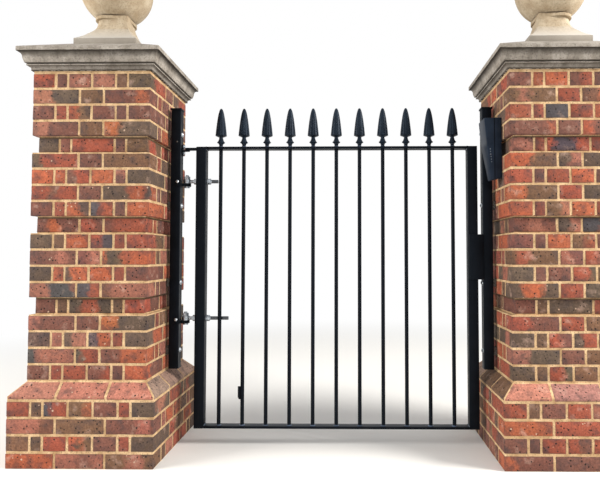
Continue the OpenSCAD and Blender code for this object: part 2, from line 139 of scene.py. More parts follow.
def makeBrickMaterial():
    # clamp fired facing brick, sand faced: matt, blended from plum to orange by the fire, full of iron specks
    look = brickLook
    material, tree, shader, place = startMaterial("clampFiredBrick")
    tint = addNode(tree, "ShaderNodeAttribute", attribute_name="tint").outputs["Color"]
    blaze = addNode(tree, "ShaderNodeAttribute", attribute_name="blaze").outputs["Color"]
    shift = addNode(tree, "ShaderNodeAttribute", attribute_name="noiseShift").outputs["Vector"]
    onBrick = addNode(tree, "ShaderNodeAttribute", attribute_name="onBrick").outputs["Vector"]
    band = addNode(tree, "ShaderNodeAttribute", attribute_name="band").outputs["Vector"]
    spot = addNode(tree, "ShaderNodeSeparateXYZ", {0: onBrick})
    reach = addNode(tree, "ShaderNodeSeparateXYZ", {0: band})
    own = addNode(tree, "ShaderNodeVectorMath", {0: place, 1: shift}, operation="ADD").outputs[0]
    mottle = addNode(tree, "ShaderNodeTexNoise",
                     {"Vector": own, "Scale": perMetre(look["mottleMm"]), "Detail": 4.0,
                      "Roughness": 0.55}).outputs["Fac"]
    sand = addNode(tree, "ShaderNodeTexNoise",
                   {"Vector": own, "Scale": perMetre(look["grainMm"]), "Detail": 3.0, "Roughness": 0.75})
    grain = sand.outputs["Fac"]
    bend = [look["speckBend"]] * 3
    bent = addNode(tree, "ShaderNodeVectorMath", {0: sand.outputs["Color"], 1: bend, 2: own},
                   operation="MULTIPLY_ADD").outputs[0]
    cells = addNode(tree, "ShaderNodeTexVoronoi", {"Vector": bent, "Scale": perMetre(look["speckMm"])})

    # the fire's colour takes part of the brick, with a soft and wandering edge
    stray, soft = look["fireStray"], look["fireEdge"]
    wander = addNode(tree, "ShaderNodeMapRange",
                     {"Value": mottle, **noiseRange, "To Min": -stray, "To Max": stray}).outputs[0]
    along = addNode(tree, "ShaderNodeMath", {0: spot.outputs[0], 1: wander}, operation="ADD").outputs[0]
    begun = addNode(tree, "ShaderNodeMath", {0: along, 1: reach.outputs[0]}, operation="SUBTRACT").outputs[0]
    ahead = addNode(tree, "ShaderNodeMath", {0: reach.outputs[1], 1: along}, operation="SUBTRACT").outputs[0]
    inside = addNode(tree, "ShaderNodeMath", {0: begun, 1: ahead}, operation="MINIMUM").outputs[0]
    banded = addNode(tree, "ShaderNodeMapRange", {"Value": inside, "From Min": -soft, "From Max": soft},
                     interpolation_type="SMOOTHSTEP").outputs[0]
    colour = addNode(tree, "ShaderNodeMix", {0: banded, 6: tint, 7: blaze}, data_type="RGBA").outputs[2]

    colour = layTone(tree, colour, look["burnt"], mottle, *look["scorched"])
    colour = layTone(tree, colour, look["bloom"], mottle, *look["bloomed"])
    darkest, lightest = look["lift"]
    lift = addNode(tree, "ShaderNodeMapRange",
                   {"Value": grain, **noiseRange, "To Min": darkest, "To Max": lightest}).outputs[0]
    colour = addNode(tree, "ShaderNodeHueSaturation",
                     {"Saturation": look["saturation"], "Value": lift, "Color": colour}).outputs[0]

    # iron specks and a few pale ones, 2 to 7 mm, one to each cell, of which those near the face show
    chance = addNode(tree, "ShaderNodeSeparateColor", {0: cells.outputs["Color"]})
    least, most = look["speckRadius"]
    radius = addNode(tree, "ShaderNodeMapRange",
                     {"Value": chance.outputs[0], "To Min": least, "To Max": most}).outputs[0]
    over = addNode(tree, "ShaderNodeMath", {0: radius, 1: cells.outputs["Distance"]},
                   operation="SUBTRACT").outputs[0]
    begin, full = look["speckEdge"]
    speck = addNode(tree, "ShaderNodeMapRange",
                    {"Value": over, "From Min": begin, "From Max": full}).outputs[0]
    pale = addNode(tree, "ShaderNodeMath", {0: chance.outputs[1], 1: look["paleAbove"]},
                   operation="GREATER_THAN").outputs[0]
    speckTone = layTone(tree, linear(look["speck"]), look["paleSpeck"], pale)
    strength = addNode(tree, "ShaderNodeMath", {0: speck, 1: look["speckShare"]},
                       operation="MULTIPLY").outputs[0]
    colour = addNode(tree, "ShaderNodeMix", {0: strength, 6: colour, 7: speckTone},
                     data_type="RGBA").outputs[2]

    # painted shade: the brick darkens in the burnt tone towards its arris, standing in for the shadow line at
    # the joints
    colour = layTone(tree, colour, look["burnt"], spot.outputs[1], *look["arris"])
    shader.inputs["Specular IOR Level"].default_value = look["gloss"]
    pits = addNode(tree, "ShaderNodeMath", {0: grain, 1: speck}, operation="SUBTRACT").outputs[0]
    height = addNode(tree, "ShaderNodeMath", {0: pits, 1: mottle}, operation="ADD").outputs[0]
    finishSurface(tree, shader, look, colour, grain, height)
    return material


mortarLook = {
    "patchMm": 45,
    "sandMm": 7,  # coarser than the real sand, which would not show
    "dried": (0.32, 0.66, 1.0),
    "gritty": (0.52, 0.68, 0.7),
    "rough": (0.86, 0.98),
    "gloss": 0.2,
    "bump": 0.7,
    "bumpDeep": 0.001,
    "pale": "#e2c196",
    "deep": "#b5926a",
    "grit": "#86694f",
    "underBandShade": "#4a3b2f",  # painted shade on the joint under the bands, where their shadow falls
    "underBandShadeAt": (0.7465, 1.1215, 1.4965),
    "underBandShadeReach": 0.0045,
    "underBandShadeShare": 0.85,
}


def makeMortarMaterial():
    # lime and yellow sand mortar, bagged off: matt, gritty, paler where it has dried thin
    look = mortarLook
    material, tree, shader, place = startMaterial("limeSandMortar")
    patch = addNode(tree, "ShaderNodeTexNoise",
                    {"Vector": place, "Scale": perMetre(look["patchMm"]), "Detail": 5.0}).outputs["Fac"]
    sand = addNode(tree, "ShaderNodeTexNoise",
                   {"Vector": place, "Scale": perMetre(look["sandMm"]), "Detail": 2.0}).outputs["Fac"]
    colour = layTone(tree, linear(look["pale"]), look["deep"], patch, *look["dried"])
    colour = layTone(tree, colour, look["grit"], sand, *look["gritty"])
    # painted shade: a dark strip in the joint under each band
    for level in look["underBandShadeAt"]:
        colour = layStrip(tree, colour, look["underBandShade"], place, 2, level, look["underBandShadeReach"], look["underBandShadeShare"])
    shader.inputs["Specular IOR Level"].default_value = look["gloss"]
    finishSurface(tree, shader, look, colour, patch, sand)
    return material


stoneLook = {
    "both": {
        "streakMm": 26,
        "streakTall": 5,  # a rain streak is this many times as tall as it is wide
        "blotchMm": 95,
        "gritMm": 8,  # sand and stone chips, drawn this large so that they show
        "blotched": (0.38, 0.6, 1.0),
        "ragged": 0.0015,  # how far the edge of each band of grime, painted shade and tone wanders, in metres
        "rough": (0.75, 0.95),
        "gloss": 0.3,
        "bump": 0.4,
        "bumpDeep": 0.0012,
    },
    # bands by height, of grime and painted shade on the cap and of tone and painted shade on the finial:
    # where each begins and ends (mm), its share at each, and its colour
    "capStone": {
        "pale": "#aea69c", "mid": "#857d73", "grit": "#4e4742", "stain": "#5a5148",
        "gritty": (0.52, 0.7, 0.75),
        "stained": (0.5, 0.7, 0.5),
        # grime and painted shade: darker at the cap's foot, at the small cavetto's top, in the quirk and
        # under the fascia
        "toneAndShadeBands": ((1808, 1823, 0.5, 0.3, "#4a4138"), (1808, 1812.5, 0.95, 0.7, "#2e2822"),
                  (1822, 1829.5, 0.3, 0.7, "#2e2822"), (1834.5, 1841, 0.8, 0.6, "#2e2822"),
                  (1860, 1889.5, 0.0, 0.97, "#28221c")),
    },
    "finialStone": {
        "pale": "#c1b29a", "mid": "#a9967c", "grit": "#75644f", "stain": "#8b785f",
        "gritty": (0.52, 0.7, 0.7),
        "stained": (0.5, 0.7, 0.35),
        # the slab greyer, paler towards the flare's foot, darker towards the collar's top, and a painted
        # shadow line where the ball sits on the collar
        "toneAndShadeBands": ((1980, 2014, 0.8, 0.8, "#938e87"), (2014, 2085, 0.9, 0.25, "#c0bbb3"),
                  (2120, 2156, 0.0, 0.35, "#8b7453"), (2155.5, 2163, 0.9, 0.5, "#4a3b2b")),
    },
}


def makeStoneMaterial(name):
    # cast stone, rammed and weathered: fine grit, rain streaks, blotches, grime and painted shade under the
    # mouldings
    look = stoneLook["both"] | stoneLook[name]
    material, tree, shader, place = startMaterial(name + "WeatheredAndShaded")
    stretch = (1.0, 1.0, 1 / look["streakTall"])
    tall = addNode(tree, "ShaderNodeVectorMath", {0: place, 1: stretch}, operation="MULTIPLY").outputs[0]
    streak = addNode(tree, "ShaderNodeTexNoise",
                     {"Vector": tall, "Scale": perMetre(look["streakMm"]), "Detail": 6.0, "Roughness": 0.7,
                      "Distortion": 0.6}).outputs["Fac"]
    blotch = addNode(tree, "ShaderNodeTexNoise",
                     {"Vector": place, "Scale": perMetre(look["blotchMm"]), "Detail": 7.0,
                      "Roughness": 0.68}).outputs["Fac"]
    grain = addNode(tree, "ShaderNodeTexNoise",
                    {"Vector": place, "Scale": perMetre(look["gritMm"]), "Detail": 3.0,
                     "Roughness": 0.8}).outputs["Fac"]
    colour = layTone(tree, linear(look["pale"]), look["mid"], blotch, *look["blotched"])
    colour = layTone(tree, colour, look["stain"], streak, *look["stained"])
    colour = layTone(tree, colour, look["grit"], grain, *look["gritty"])

    # grime and painted shade, and on the finial also tone, laid in bands of height, with a ragged edge
    height = addNode(tree, "ShaderNodeSeparateXYZ", {0: place}).outputs[2]
    stray = look["ragged"]
    ragged = addNode(tree, "ShaderNodeMapRange",
                     {"Value": streak, **noiseRange, "To Min": -stray, "To Max": stray}).outputs[0]
    level = addNode(tree, "ShaderNodeMath", {0: height, 1: ragged}, operation="ADD").outputs[0]
    for lowMm, highMm, lowShare, highShare, tone in look["toneAndShadeBands"]:
        low, high = lowMm / 1000, highMm / 1000
        above = addNode(tree, "ShaderNodeMath", {0: level, 1: low}, operation="GREATER_THAN").outputs[0]
        below = addNode(tree, "ShaderNodeMath", {0: level, 1: high}, operation="LESS_THAN").outputs[0]
        share = addNode(tree, "ShaderNodeMapRange",
                        {"Value": level, "From Min": low, "From Max": high, "To Min": lowShare,
                         "To Max": highShare}).outputs[0]
        within = addNode(tree, "ShaderNodeMath", {0: above, 1: below}, operation="MULTIPLY").outputs[0]
        toneAndShadeAmount = addNode(tree, "ShaderNodeMath", {0: within, 1: share}, operation="MULTIPLY").outputs[0]
        colour = layTone(tree, colour, tone, toneAndShadeAmount)
    shader.inputs["Specular IOR Level"].default_value = look["gloss"]
    relief = addNode(tree, "ShaderNodeMath", {0: grain, 1: streak}, operation="ADD").outputs[0]
    finishSurface(tree, shader, look, colour, blotch, relief)
    return material


paintLook = {
    "all": {"patchMm": 70, "patched": (0.35, 0.65, 1.0), "faceUp": (0.75, 1.0), "dustAndSheenShare": 0.6,
            "gloss": 0.14, "sheen": "#c9dcf7", "bumpDeep": 0.0006, "seam": None, "seamTone": "#050608"},
    # the blue cast of the base and the pale blue-grey on what faces up are a painted sky sheen, partly dust
    "satinBlackPaint": {"base": "#07090c", "worn": "#0d1015", "dustAndSheen": "#474b52", "rough": (0.42, 0.55),
                        "bumpMm": 7, "bump": 0.12},
    # the castings' base and worn tones are lightened and blued, a painted sheen
    "blackCasting": {"base": "#141a22", "worn": "#202933", "dustAndSheen": "#35332f", "rough": (0.32, 0.44),
                     "bumpMm": 3.5, "bump": 0.16},
    "weldPaintedSheen": {"base": "#3a4454", "worn": "#5d6b82", "dustAndSheen": "#8e9bb0", "rough": (0.25, 0.35),
                    "bumpMm": 5, "bump": 0.1},  # thick black paint on the beads, coloured pale blue-grey all over as a painted sheen
    "blackSheet": {"base": "#1a212c", "worn": "#232c39", "dustAndSheen": "#35332f", "rough": (0.4, 0.5),
                   "bumpMm": 12, "bump": 0.08,
                   "seam": (0.795, 0.0022)},  # the fold's place and half its width, as it shows
}


def makePaintMaterial(name):
    # satin black paint on mild steel or cast iron: soft sheen, slight flow marks, dust and painted sheen on
    # what faces up
    look = paintLook["all"] | paintLook[name]
    material, tree, shader, place = startMaterial(name)
    patch = addNode(tree, "ShaderNodeTexNoise",
                    {"Vector": place, "Scale": perMetre(look["patchMm"]), "Detail": 5.0}).outputs["Fac"]
    flow = addNode(tree, "ShaderNodeTexNoise",
                   {"Vector": place, "Scale": perMetre(look["bumpMm"]), "Detail": 3.0}).outputs["Fac"]
    colour = layTone(tree, linear(look["base"]), look["worn"], patch, *look["patched"])
    normal = addNode(tree, "ShaderNodeNewGeometry").outputs["Normal"]
    facing = addNode(tree, "ShaderNodeSeparateXYZ", {0: normal}).outputs[2]
    begin, full = look["faceUp"]
    upward = addNode(tree, "ShaderNodeMapRange",
                     {"Value": facing, "From Min": begin, "From Max": full,
                      "To Max": look["dustAndSheenShare"]}).outputs[0]
    # dust and painted sheen on faces that look up
    dustAndSheenAmount = addNode(tree, "ShaderNodeMath", {0: upward, 1: patch}, operation="MULTIPLY").outputs[0]
    colour = layTone(tree, colour, look["dustAndSheen"], dustAndSheenAmount)
    if look["seam"]:
        colour = layStrip(tree, colour, look["seamTone"], place, 0, *look["seam"])
    shader.inputs["Specular IOR Level"].default_value = look["gloss"]
    shader.inputs["Specular Tint"].default_value = linear(look["sheen"])
    finishSurface(tree, shader, look, colour, patch, flow)
    return material


zincLook = {
    "all": {"scratchMm": 1.2, "clouded": (0.35, 0.65, 1.0), "bump": 0.2, "bumpDeep": 0.0003,
            "greased": None, "grease": "#55585c"},
    "zincPlatedSteel": {"bright": "#cdd3d9", "dull": "#959ca3", "rough": (0.3, 0.5), "patchMm": 9,
                        "greased": (-0.56, 0.052)},  # middle and half length of the bolts' oily ends, across
    "greyedZinc": {"bright": "#6b6a67", "dull": "#45433f", "rough": (0.55, 0.75), "patchMm": 7},
}


def makeZincMaterial(name):
    # zinc on mild steel, left outdoors: metallic, clouded, with fine handling marks, or greyed all over
    look = zincLook["all"] | zincLook[name]
    material, tree, shader, place = startMaterial(name)
    cloud = addNode(tree, "ShaderNodeTexNoise",
                    {"Vector": place, "Scale": perMetre(look["patchMm"]), "Detail": 4.0}).outputs["Fac"]
    mark = addNode(tree, "ShaderNodeTexNoise",
                   {"Vector": place, "Scale": perMetre(look["scratchMm"]), "Detail": 2.0}).outputs["Fac"]
    colour = layTone(tree, linear(look["bright"]), look["dull"], cloud, *look["clouded"])
    if look["greased"]:
        colour = layStrip(tree, colour, look["grease"], place, 0, *look["greased"])
    shader.inputs["Metallic"].default_value = 1.0
    finishSurface(tree, shader, look, colour, cloud, mark)
    return material


brickMaterial = makeBrickMaterial()
mortarMaterial = makeMortarMaterial()
capMaterial = makeStoneMaterial("capStone")
finialMaterial = makeStoneMaterial("finialStone")
paintMaterial = makePaintMaterial("satinBlackPaint")
castingMaterial = makePaintMaterial("blackCasting")
weldSheenMaterial = makePaintMaterial("weldPaintedSheen")
sheetMaterial = makePaintMaterial("blackSheet")
zincMaterial = makeZincMaterial("zincPlatedSteel")
greyedMaterial = makeZincMaterial("greyedZinc")
print("materials made")


def makePiece(name, bm, material, body, replaced=(), sharpAngle=50):
    mesh = bpy.data.meshes.new(name)
    bm.to_mesh(mesh)
    bm.free()
    mesh.polygons.foreach_set("use_smooth", [True] * len(mesh.polygons))
    mesh.set_sharp_from_angle(angle=math.radians(sharpAngle))
    mesh.materials.append(material)
    piece = bpy.data.objects.new(name, mesh)
    bpy.context.scene.collection.objects.link(piece)
    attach(piece, body)
    if replaced:
        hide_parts(*replaced)


def cutCells(bm, cell, levelCuts=0):
    # cuts straight edges into cells of about one length, one direction at a time; levelCuts gives every level
    # edge the same count, so that rings of unequal size still join in plain quads
    straight = 0.95  # an edge lies along an axis when this much of its length does
    for axis in range(3):
        groups = {}
        for edge in bm.edges:
            span = edge.verts[0].co - edge.verts[1].co
            length = span.length
            if abs(span[axis]) > straight * length:
                cuts = levelCuts if levelCuts and axis < 2 else round(length / cell) - 1
                if cuts > 0:
                    groups.setdefault(cuts, []).append(edge)
        for cuts, edges in groups.items():
            bmesh.ops.subdivide_edges(bm, edges=edges, cuts=cuts, use_grid_fill=True)


def bevelEdges(bm, edges, offset, segments=2):
    bmesh.ops.bevel(bm, geom=edges, offset=offset, offset_type="OFFSET", segments=segments, profile=0.5,
                    affect="EDGES", material=-1, clamp_overlap=True)


brickwork = {
    "stretcher": 0.215,
    "header": 0.1025,
    "closer": 0.04625,
    "brickHeight": 0.065,
    "joint": 0.010,
    "course": 0.075,
    "stretcherOver": 0.15,  # a longer brick counts as a stretcher, and one over headerOver as a header
    "headerOver": 0.07,
    "plinthHalf": 0.3325,
    "shaftHalf": 0.27625,
    "recess": 0.020,
    "plinthCourses": 4,
    "plinthGauge": 0.076,
    "plinthBed": 0.001,  # the lowest joint hardly shows
    "shaftCourses": 19,
    "recessCourses": (4, 9, 14),
    "recessLong": (0.195, 0.1025, 0.195),  # the cut bricks of a set-back course
    "recessShort": (0.095, 0.044, 0.1945, 0.044, 0.095),
    "slopeTail": 0.05,  # how far a sloped brick runs in behind the shaft's face
    "cell": 0.036,
    "setIn": 0.0016,  # keeps roughened faces inside the plain ones
    "arris": 0.0026,
    "sharpDegrees": 25,
    "unevenness": 0.0009,
    "unevenPerMetre": 32,
    "chip": 0.0028,
    "chipPerMetre": 70,
    "chipAbove": 0.25,
    "wearWidth": 0.009,
    "nudge": 0.0006,
    "shiftReach": 50,  # each brick reads the noise at a place of its own, this far off at most
    "mortarIn": 0.0032,
    "slopeMortarIn": 0.0012,
    "mortarLap": 0.0015,  # how far the set-back mortar runs up behind the band above
    "mortarCell": 0.024,
    "mortarCuts": 23,
    "mortarUneven": 0.0011,
    "mortarPerMetre": 45,
    "mortarEnds": 0.001,  # stays plain at its foot and under the cap
    "mortarSharpDegrees": 40,
    "seeds": {"left": 23, "right": 64},
    "noiseSeed": 23,
}

brickTones = {
    "orange": "#a7583a",
    "red": "#954c38",
    "rose": "#9a614f",
    "plum": "#754b3f",
    "brown": "#72533e",
    "burnt": "#604e41",
    "slate": "#50494b",
    "blush": "#b27360",
    "mauve": "#9d6a60",
    "bleached": "#a08474",
}

toneShares = {
    "stretcher": (("burnt", 6), ("brown", 6), ("plum", 5), ("red", 5), ("rose", 2), ("orange", 3)),
    "header": (("red", 7), ("rose", 5), ("plum", 6), ("orange", 5), ("brown", 4), ("slate", 1)),
    "closer": (("plum", 4), ("brown", 4), ("red", 4), ("orange", 3), ("rose", 2)),
    "slopeFront": (("blush", 2), ("mauve", 1)),
    "slopeSide": (("bleached", 3), ("brown", 1)),
}

# where the fire's band may lie along a brick, in metres from its middle, and how the colours vary
fireBand = {
    "none": (1.0, 1.1),
    "pastEnd": 0.2,
    "stretcher": {"chance": 0.75, "start": (-0.09, 0.06), "end": (-0.07, 0.0), "length": (0.03, 0.12)},
    "header": {"chance": 0.45, "start": (-0.01, 0.03), "end": (-0.03, 0.01)},
    "value": (0.86, 1.14),
    "warmth": (0.94, 1.06),
    "blazeValue": (0.9, 1.1),
}


def pickTone(kind, luck):
    # a brick's main colour, the colour of its fire band and where that band lies along it
    names = [name for name, share in toneShares[kind] for _ in range(share)]
    name = luck.choice(names)
    dark = name in ("burnt", "brown", "plum", "slate")
    other = luck.choice(("orange", "red", "rose")) if dark else luck.choice(("burnt", "plum", "slate"))
    start, end = fireBand["none"]
    past = fireBand["pastEnd"]
    reach = fireBand.get(kind)
    if reach and luck.random() < reach["chance"]:
        start = luck.choice((-past, luck.uniform(*reach["start"])))
        if start == -past:
            end = luck.uniform(*reach["end"])
        elif "length" in reach:
            end = start + luck.uniform(*reach["length"])
        else:
            end = past
    value = luck.uniform(*fireBand["value"])
    warm = luck.uniform(*fireBand["warmth"])
    tint = [c * value for c in linear(brickTones[name])[:3]]
    tint[0] *= warm
    blaze = [c * luck.uniform(*fireBand["blazeValue"]) for c in linear(brickTones[other])[:3]]
    return tint + [1.0], blaze + [1.0], (start, end, 0.0)


def startBrick(bm, number, bricks, centre, size, kind, luck):
    box = Matrix.Translation(centre) @ Matrix.Diagonal((*size, 1.0))
    made = bmesh.ops.create_cube(bm, size=1.0, matrix=box)
    for face in {face for vert in made["verts"] for face in vert.link_faces}:
        face[number] = len(bricks)
    tint, blaze, band = pickTone(kind, luck)
    far = brickwork["shiftReach"]
    shift = Vector([luck.uniform(-far, far) for _ in range(3)])
    nudge = Vector([luck.uniform(-share, share) for share in (1, 1, 0.5)]) * brickwork["nudge"]
    bricks.append({"centre": Vector(centre), "size": Vector(size), "tint": tint, "blaze": blaze, "band": band,
                   "shift": shift, "nudge": nudge})


def brickKind(length):
    if length > brickwork["stretcherOver"]:
        return "stretcher"
    return "header" if length > brickwork["headerOver"] else "closer"


def trimmed(row):
    # the same row with its two end bricks cut back to the set-in face
    return [row[0] - brickwork["setIn"]] + list(row[1:-1]) + [row[-1] - brickwork["setIn"]]


def layCourse(bm, number, bricks, middle, low, half, frontRow, sideRow, luck):
    # corner bricks belong to both rows, so their depth is the first length of the side row
    b = brickwork
    frontRow, sideRow = trimmed(frontRow), trimmed(sideRow)
    up = low + b["brickHeight"] / 2
    for sign in (-1, 1):
        start = -half
        for place, length in enumerate(frontRow):
            corner = place in (0, len(frontRow) - 1)
            depth = sideRow[0] if corner else b["header"]
            centre = (middle + start + length / 2, sign * (half - depth / 2), up)
            kind = brickKind(max(length, depth) if corner else length)
            startBrick(bm, number, bricks, centre, (length, depth, b["brickHeight"]), kind, luck)
            start += length + b["joint"]
        start = -half + sideRow[0] + b["joint"]
        for length in sideRow[1:-1]:
            centre = (middle + sign * (half - b["header"] / 2), start + length / 2, up)
            size = (b["header"], length, b["brickHeight"])
            startBrick(bm, number, bricks, centre, size, brickKind(length), luck)
            start += length + b["joint"]


def laySlope(bm, number, bricks, middle, low, luck):
    # the sloped course: three mitred bricks to a side, cut to an upright nose and a fall of 45 degrees
    b = brickwork
    wide, narrow = b["plinthHalf"] - b["setIn"], b["shaftHalf"] - b["setIn"]
    depth = wide - narrow + b["slopeTail"]
    noseTop = low + b["course"] - (wide - narrow) - b["setIn"]
    bed = low + b["joint"] / 2
    for turn in range(4):
        spin = Matrix.Translation((middle, 0, 0)) @ Matrix.Rotation(turn * math.pi / 2, 4, "Z")
        for place in (-1, 0, 1):
            offset = place * (b["stretcher"] + b["joint"])
            size = (b["stretcher"], depth, b["brickHeight"])
            centre = Vector((offset, -wide + depth / 2, bed + b["brickHeight"] / 2))
            kind = "slopeFront" if turn in (0, 2) else "slopeSide"
            startBrick(bm, number, bricks, centre, size, kind, luck)
            cuts = [(Vector((0, -wide, noseTop)), Vector((0, -1, 1)))]
            if place:
                mitre = Vector((place * (wide - b["joint"] / 2), -wide, 0))
                cuts.append((mitre, Vector((place, 1, 0))))
            mark = len(bricks) - 1
            for point, normal in cuts:  # lists in one order, so that each run bevels these bricks alike
                faces = [face for face in bm.faces if face[number] == mark]
                edges = list(dict.fromkeys(edge for face in faces for edge in face.edges))
                verts = list(dict.fromkeys(vert for face in faces for vert in face.verts))
                out = bmesh.ops.bisect_plane(bm, geom=verts + edges + faces, plane_co=point, plane_no=normal,
                                             clear_outer=True)
                rim = [g for g in out["geom_cut"] if isinstance(g, bmesh.types.BMEdge)]
                for face in bmesh.ops.edgeloop_fill(bm, edges=rim)["faces"]:
                    face[number] = mark
            faces = [face for face in bm.faces if face[number] == mark]
            verts = list(dict.fromkeys(vert for face in faces for vert in face.verts))
            bmesh.ops.transform(bm, matrix=spin, verts=verts)
            brick = bricks[mark]
            brick["centre"] = spin @ centre
            if turn % 2:
                brick["size"] = Vector((size[1], size[0], size[2]))


def roughenBricks(bm, number, bricks):
    # writes what the brick material reads, then wears and shifts each brick a little
    b = brickwork
    noise.seed_set(b["noiseSeed"])  # without a seed, noise_vector differs from run to run
    tint = bm.verts.layers.float_color.new("tint")
    blaze = bm.verts.layers.float_color.new("blaze")
    band = bm.verts.layers.float_vector.new("band")
    shift = bm.verts.layers.float_vector.new("noiseShift")
    onBrick = bm.verts.layers.float_vector.new("onBrick")
    for vert in bm.verts:
        brick = bricks[vert.link_faces[0][number]]
        half = brick["size"] / 2
        local = vert.co - brick["centre"]
        gaps = sorted(half[i] - abs(local[i]) for i in range(3))
        fromEdge = max(gaps[1], 0.0)
        along = local.x if half.x >= half.y else local.y
        vert[tint] = brick["tint"]
        vert[blaze] = brick["blaze"]
        vert[band] = brick["band"]
        vert[shift] = brick["shift"]
        vert[onBrick] = (along, fromEdge, 0.0)
        seeded = vert.co + brick["shift"]
        push = noise.noise_vector(seeded * b["unevenPerMetre"]) * b["unevenness"]
        chip = max(0.0, noise.noise(seeded * b["chipPerMetre"]) - b["chipAbove"]) * b["chip"]
        wear = max(0.0, 1 - fromEdge / b["wearWidth"])
        inward = -local.normalized() * chip * wear
        vert.co += push + inward + brick["nudge"]
        vert.co.z = max(vert.co.z, 0.0)


def layPier(side):
    b = brickwork
    low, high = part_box(side + "_pier")
    middle = (low.x + high.x) / 2
    luck = random.Random(b["seeds"][side])
    bm = bmesh.new()
    number = bm.faces.layers.int.new("brickNumber")
    bricks = []
    s, h, q = b["stretcher"], b["header"], b["closer"]
    rows = {
        "plinth": ([s, s, s], [h, q, h, h, h, q, h]),
        "shaft": ([s, h, s], [h, q, h, h, q, h]),
        "recess": (b["recessLong"], b["recessShort"]),
    }
    for course in range(b["plinthCourses"]):
        long, short = rows["plinth"]
        front, sides = (long, short) if course % 2 == 0 else (short, long)
        half = b["plinthHalf"] - b["setIn"]
        bed = b["plinthBed"] + course * b["plinthGauge"]
        layCourse(bm, number, bricks, middle, bed, half, front, sides, luck)
    base = b["plinthCourses"] * b["course"]
    for course in range(b["shaftCourses"]):
        recessed = course in b["recessCourses"]
        long, short = rows["recess" if recessed else "shaft"]
        front, sides = (short, long) if course % 2 == 0 else (long, short)
        half = b["shaftHalf"] - b["setIn"] - (b["recess"] if recessed else 0)
        bed = base + (course + 1) * b["course"] + b["joint"] / 2
        layCourse(bm, number, bricks, middle, bed, half, front, sides, luck)
    laySlope(bm, number, bricks, middle, base, luck)
    cutCells(bm, b["cell"])
    bm.normal_update()
    least = math.radians(b["sharpDegrees"])
    bevelEdges(bm, [e for e in bm.edges if e.is_manifold and e.calc_face_angle(0) > least], b["arris"])
    roughenBricks(bm, number, bricks)
    bmesh.ops.recalc_face_normals(bm, faces=bm.faces)
    makePiece(side + "Brickwork", bm, brickMaterial, fixedBody, (side + "_pier",))
    print(side, "pier laid,", len(bricks), "bricks")
    layMortar(side, middle, high.z)


def layMortar(side, middle, top):
    # the mortar's body behind the bricks, pulled up from its foot one step at a time
    b = brickwork
    wide, narrow = b["plinthHalf"] - b["mortarIn"], b["shaftHalf"] - b["mortarIn"]
    base = b["plinthCourses"] * b["course"]
    slopeTop = base + b["course"] - b["slopeMortarIn"]
    setBack = narrow - b["recess"]
    steps = [(wide, 0.0), (wide, slopeTop - (wide - narrow)), (narrow, slopeTop)]
    for course in b["recessCourses"]:
        low = base + (course + 1) * b["course"]
        under = low + b["course"] + b["joint"] / 2 + b["mortarLap"]
        steps += [(narrow, low), (setBack, low), (setBack, under), (narrow, under)]
    steps += [(narrow, top)]
    bm = bmesh.new()
    made = bmesh.ops.create_grid(bm, x_segments=1, y_segments=1, size=wide,
                                 matrix=Matrix.Translation((middle, 0, 0)))
    face = made["verts"][0].link_faces[0]
    half, level = steps[0]
    for nextHalf, nextLevel in steps[1:]:
        out = bmesh.ops.extrude_face_region(bm, geom=[face])["geom"]
        if face.is_valid:  # no inner face stays behind
            bmesh.ops.delete(bm, geom=[face], context="FACES_ONLY")
        verts = [g for g in out if isinstance(g, bmesh.types.BMVert)]
        face = [g for g in out if isinstance(g, bmesh.types.BMFace)][0]
        ratio = nextHalf / half
        bmesh.ops.scale(bm, vec=(ratio, ratio, 1), space=Matrix.Translation((-middle, 0, 0)), verts=verts)
        bmesh.ops.translate(bm, vec=(0, 0, nextLevel - level), verts=verts)
        half, level = nextHalf, nextLevel
    bmesh.ops.holes_fill(bm, edges=[edge for edge in bm.edges if edge.is_boundary], sides=0)
    bmesh.ops.recalc_face_normals(bm, faces=bm.faces)
    cutCells(bm, b["mortarCell"], b["mortarCuts"])
    for vert in bm.verts:
        if b["mortarEnds"] < vert.co.z < top - b["mortarEnds"]:
            outward = Vector((vert.co.x - middle, vert.co.y, 0)).normalized()
            vert.co += outward * noise.noise(vert.co * b["mortarPerMetre"]) * b["mortarUneven"]
    makePiece(side + "Mortar", bm, mortarMaterial, fixedBody, (side + "_pier",),
              b["mortarSharpDegrees"])


layPier("left")
layPier("right")

easing = {
    "merge": 0.00001,
    "flatDegrees": 0.4,  # the joins between the CAD's triangles that are flatter than this go
    "sharpDegrees": 32,
    "arrisSteps": 2,
    "cornerSteps": 4,
    "longEdge": 1.0,  # the long edges of a box section, which get the larger corner
    "cap": 0.0018,
    "finialBase": 0.0022,
    "boxCorner": 0.0045,
    "boxEnd": 0.0008,
    "flat": 0.0012,
    "bracket": 0.0015,
    "housing": 0.0022,
}


def roundedCopy(node, name, material, body, arris, corner=None):
    # a merged copy of a CAD piece with its arrises taken off; corner rounds the long edges of a box section
    e = easing
    bm = bmesh.new()
    bm.from_mesh(nodes[node].data)
    bmesh.ops.remove_doubles(bm, verts=bm.verts, dist=e["merge"])
    bmesh.ops.dissolve_limit(bm, angle_limit=math.radians(e["flatDegrees"]), verts=bm.verts, edges=bm.edges)
    bm.normal_update()
    least = math.radians(e["sharpDegrees"])
    rounds = [(e[corner], e["cornerSteps"], e["longEdge"])] if corner else []
    rounds.append((e[arris], e["arrisSteps"], 0.0))
    for offset, segments, longerThan in rounds:
        edges = [edge for edge in bm.edges if edge.is_manifold and edge.is_convex
                 and edge.calc_length() > longerThan and edge.calc_face_angle(0) > least]
        bevelEdges(bm, edges, offset, segments)
    makePiece(name, bm, material, body, (node,), e["sharpDegrees"])


